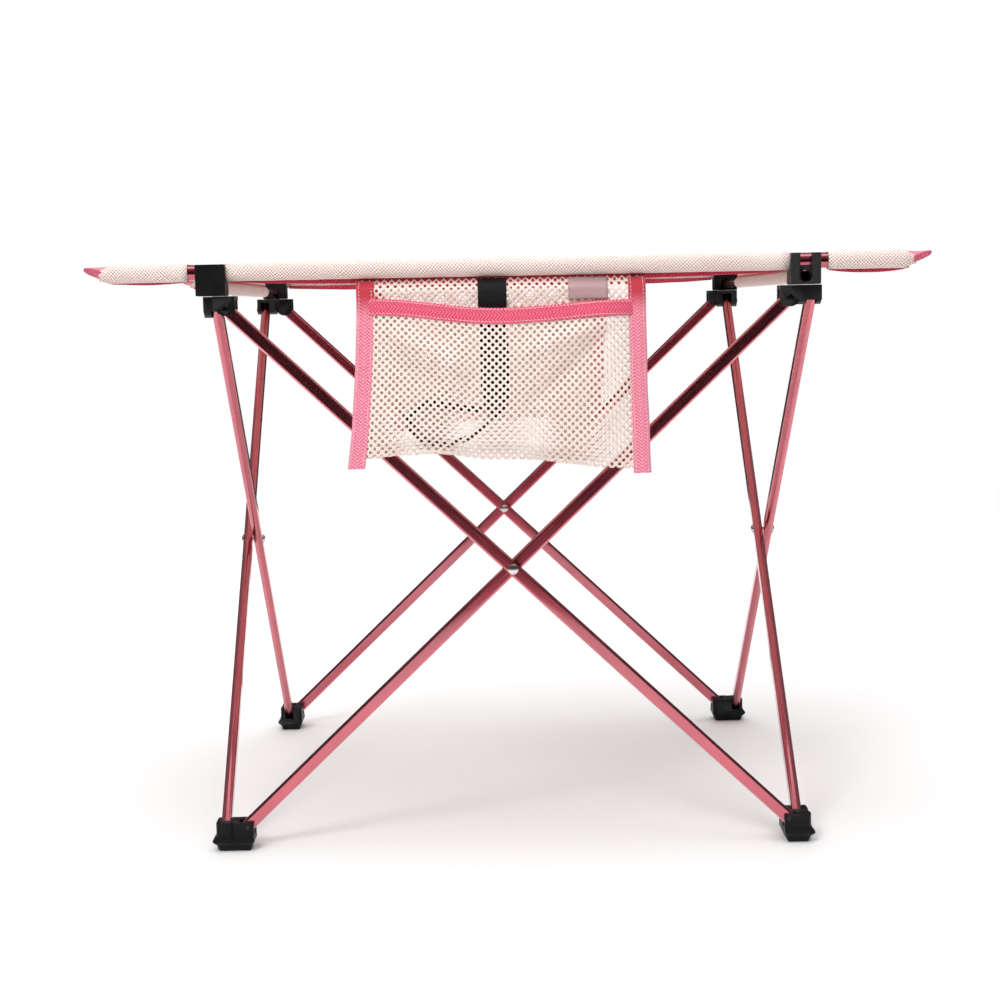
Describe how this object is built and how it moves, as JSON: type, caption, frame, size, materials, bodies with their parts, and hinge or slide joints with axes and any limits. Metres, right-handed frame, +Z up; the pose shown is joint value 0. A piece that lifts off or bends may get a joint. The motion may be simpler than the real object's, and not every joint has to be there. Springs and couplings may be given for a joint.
{
  "type": "folding camp table",
  "caption": "Roll-top folding camp table: cloth on two rails, four-sided scissor frame, mesh pockets front and rear.",
  "frame": {"origin": "on the floor at the centre of the footprint", "axes": "+X along the long rails, +Y from the front pocket to the rear pocket, +Z up"},
  "size_m": [0.74, 0.6068, 0.5301],
  "materials": {
    "leg_tube": "anodised deep rose, semi-gloss",
    "rail_tube": "anodised deep rose, semi-gloss",
    "rivet": "bright",
    "foot_pin": "blackened",
    "ferrule": "bare",
    "elastic": "braided elastic cord",
    "nylon": "moulded, fine texture",
    "cloth": "cream basket weave",
    "binding": "pink herringbone webbing",
    "net": "cream round-hole mesh",
    "strap": "black webbing"
  },
  "bodies": {
    "front_left_bracket": {"bracket_front_left": "nylon", "top_pin_front_outer": "rivet", "top_pin_left_inner": "rivet"},
    "front_left_foot": {"foot_front_left": "nylon", "foot_pin_front_inner": "foot_pin", "foot_pin_left_outer": "foot_pin"},
    "front_right_bracket": {"bracket_front_right": "nylon", "top_pin_right_outer": "rivet", "top_pin_front_inner": "rivet"},
    "front_right_foot": {"foot_front_right": "nylon", "foot_pin_right_inner": "foot_pin", "foot_pin_front_outer": "foot_pin"},
    "rear_right_bracket": {"bracket_rear_right": "nylon", "top_pin_rear_outer": "rivet", "top_pin_right_inner": "rivet"},
    "rear_right_foot": {"foot_rear_right": "nylon", "foot_pin_rear_inner": "foot_pin", "foot_pin_right_outer": "foot_pin"},
    "rear_left_bracket": {"bracket_rear_left": "nylon", "top_pin_left_outer": "rivet", "top_pin_rear_inner": "rivet"},
    "rear_left_foot": {"foot_rear_left": "nylon", "foot_pin_left_inner": "foot_pin", "foot_pin_rear_outer": "foot_pin"},
    "front_outer_leg": {"leg_front_outer": "leg_tube", "rivet_front": "rivet"},
    "front_inner_leg": {"leg_front_inner": "leg_tube"},
    "right_outer_leg": {"leg_right_outer": "leg_tube", "rivet_right": "rivet"},
    "right_inner_leg": {"leg_right_inner": "leg_tube"},
    "rear_outer_leg": {"leg_rear_outer": "leg_tube", "rivet_rear": "rivet"},
    "rear_inner_leg": {"leg_rear_inner": "leg_tube"},
    "left_outer_leg": {"leg_left_outer": "leg_tube", "rivet_left": "rivet"},
    "left_inner_leg": {"leg_left_inner": "leg_tube"},
    "tabletop": {"table_cloth": "cloth", "edge_binding_left": "binding", "edge_binding_right": "binding", "pocket_front": "net", "pocket_rear": "net", "roll_strap": "strap", "cross_rail_left": "rail_tube", "cross_rail_right": "rail_tube", "ferrule_front": "ferrule", "shock_cord_front": "elastic", "rail_front_left": "rail_tube", "rail_cap_front_left": "nylon", "rail_front_right": "rail_tube", "rail_cap_front_right": "nylon", "ferrule_rear": "ferrule", "shock_cord_rear": "elastic", "rail_rear_left": "rail_tube", "rail_cap_rear_left": "nylon", "rail_rear_right": "rail_tube", "rail_cap_rear_right": "nylon", "clip_front_left": "nylon", "clip_front_right": "nylon", "clip_rear_right": "nylon", "clip_rear_left": "nylon"}
  },
  "joints": [
    {"name": "frame_fold", "type": "hinge", "parent": "front_outer_leg", "child": "front_left_bracket", "pos_m": [-0.247, -0.2682, 0.49], "axis": [0, -1, 0], "range_deg": [0, 42]},
    {"name": "front_scissor", "type": "hinge", "parent": "front_inner_leg", "child": "front_outer_leg", "pos_m": [0, -0.263, 0.256], "axis": [0, -1, 0], "range_deg": [-84, 0]},
    {"name": "front_right_bracket_pivot", "type": "hinge", "parent": "front_inner_leg", "child": "front_right_bracket", "pos_m": [0.247, -0.2578, 0.49], "axis": [0, 1, 0], "range_deg": [0, 42]},
    {"name": "front_right_foot_pivot", "type": "hinge", "parent": "front_outer_leg", "child": "front_right_foot", "pos_m": [0.247, -0.2682, 0.022], "axis": [0, 1, 0], "range_deg": [-42, 0]},
    {"name": "front_left_foot_pivot", "type": "hinge", "parent": "front_left_foot", "child": "front_inner_leg", "pos_m": [-0.247, -0.2578, 0.022], "axis": [0, -1, 0], "range_deg": [0, 42]},
    {"name": "left_inner_top_pivot", "type": "hinge", "parent": "front_left_bracket", "child": "left_inner_leg", "pos_m": [-0.2578, -0.247, 0.49], "axis": [1, 0, 0], "range_deg": [-42, 0]},
    {"name": "left_scissor", "type": "hinge", "parent": "left_inner_leg", "child": "left_outer_leg", "pos_m": [-0.263, 0, 0.256], "axis": [1, 0, 0], "range_deg": [0, 84]},
    {"name": "rear_left_bracket_pivot", "type": "hinge", "parent": "left_outer_leg", "child": "rear_left_bracket", "pos_m": [-0.2682, 0.247, 0.49], "axis": [1, 0, 0], "range_deg": [-42, 0]},
    {"name": "rear_left_foot_pivot", "type": "hinge", "parent": "left_inner_leg", "child": "rear_left_foot", "pos_m": [-0.2578, 0.247, 0.022], "axis": [1, 0, 0], "range_deg": [0, 42]},
    {"name": "right_outer_top_pivot", "type": "hinge", "parent": "front_right_bracket", "child": "right_outer_leg", "pos_m": [0.2682, -0.247, 0.49], "axis": [1, 0, 0], "range_deg": [-42, 0]},
    {"name": "right_scissor", "type": "hinge", "parent": "right_outer_leg", "child": "right_inner_leg", "pos_m": [0.263, 0, 0.256], "axis": [1, 0, 0], "range_deg": [0, 84]},
    {"name": "rear_right_bracket_pivot", "type": "hinge", "parent": "right_inner_leg", "child": "rear_right_bracket", "pos_m": [0.2578, 0.247, 0.49], "axis": [1, 0, 0], "range_deg": [-42, 0]},
    {"name": "rear_right_foot_pivot", "type": "hinge", "parent": "right_outer_leg", "child": "rear_right_foot", "pos_m": [0.2682, 0.247, 0.022], "axis": [1, 0, 0], "range_deg": [0, 42]},
    {"name": "rear_inner_top_pivot", "type": "hinge", "parent": "rear_left_bracket", "child": "rear_inner_leg", "pos_m": [-0.247, 0.2578, 0.49], "axis": [0, 1, 0], "range_deg": [0, 42]},
    {"name": "rear_scissor", "type": "hinge", "parent": "rear_inner_leg", "child": "rear_outer_leg", "pos_m": [0, 0.263, 0.256], "axis": [0, 1, 0], "range_deg": [-84, 0]},
    {"name": "tabletop_lift", "type": "slide", "parent": "front_left_bracket", "child": "tabletop", "axis": [0, 0, 1], "range_m": [0, 0.15]}
  ],
  "couplings": [
    {"joint": "front_scissor", "follows": "frame_fold", "ratio": -2},
    {"joint": "front_right_bracket_pivot", "follows": "frame_fold", "ratio": 1},
    {"joint": "front_right_foot_pivot", "follows": "frame_fold", "ratio": -1},
    {"joint": "front_left_foot_pivot", "follows": "frame_fold", "ratio": 1},
    {"joint": "left_inner_top_pivot", "follows": "frame_fold", "ratio": -1},
    {"joint": "left_scissor", "follows": "frame_fold", "ratio": 2},
    {"joint": "rear_left_bracket_pivot", "follows": "frame_fold", "ratio": -1},
    {"joint": "rear_left_foot_pivot", "follows": "frame_fold", "ratio": 1},
    {"joint": "right_outer_top_pivot", "follows": "frame_fold", "ratio": -1},
    {"joint": "right_scissor", "follows": "frame_fold", "ratio": 2},
    {"joint": "rear_right_bracket_pivot", "follows": "frame_fold", "ratio": -1},
    {"joint": "rear_right_foot_pivot", "follows": "frame_fold", "ratio": 1},
    {"joint": "rear_inner_top_pivot", "follows": "frame_fold", "ratio": 1},
    {"joint": "rear_scissor", "follows": "frame_fold", "ratio": -2}
  ]
}
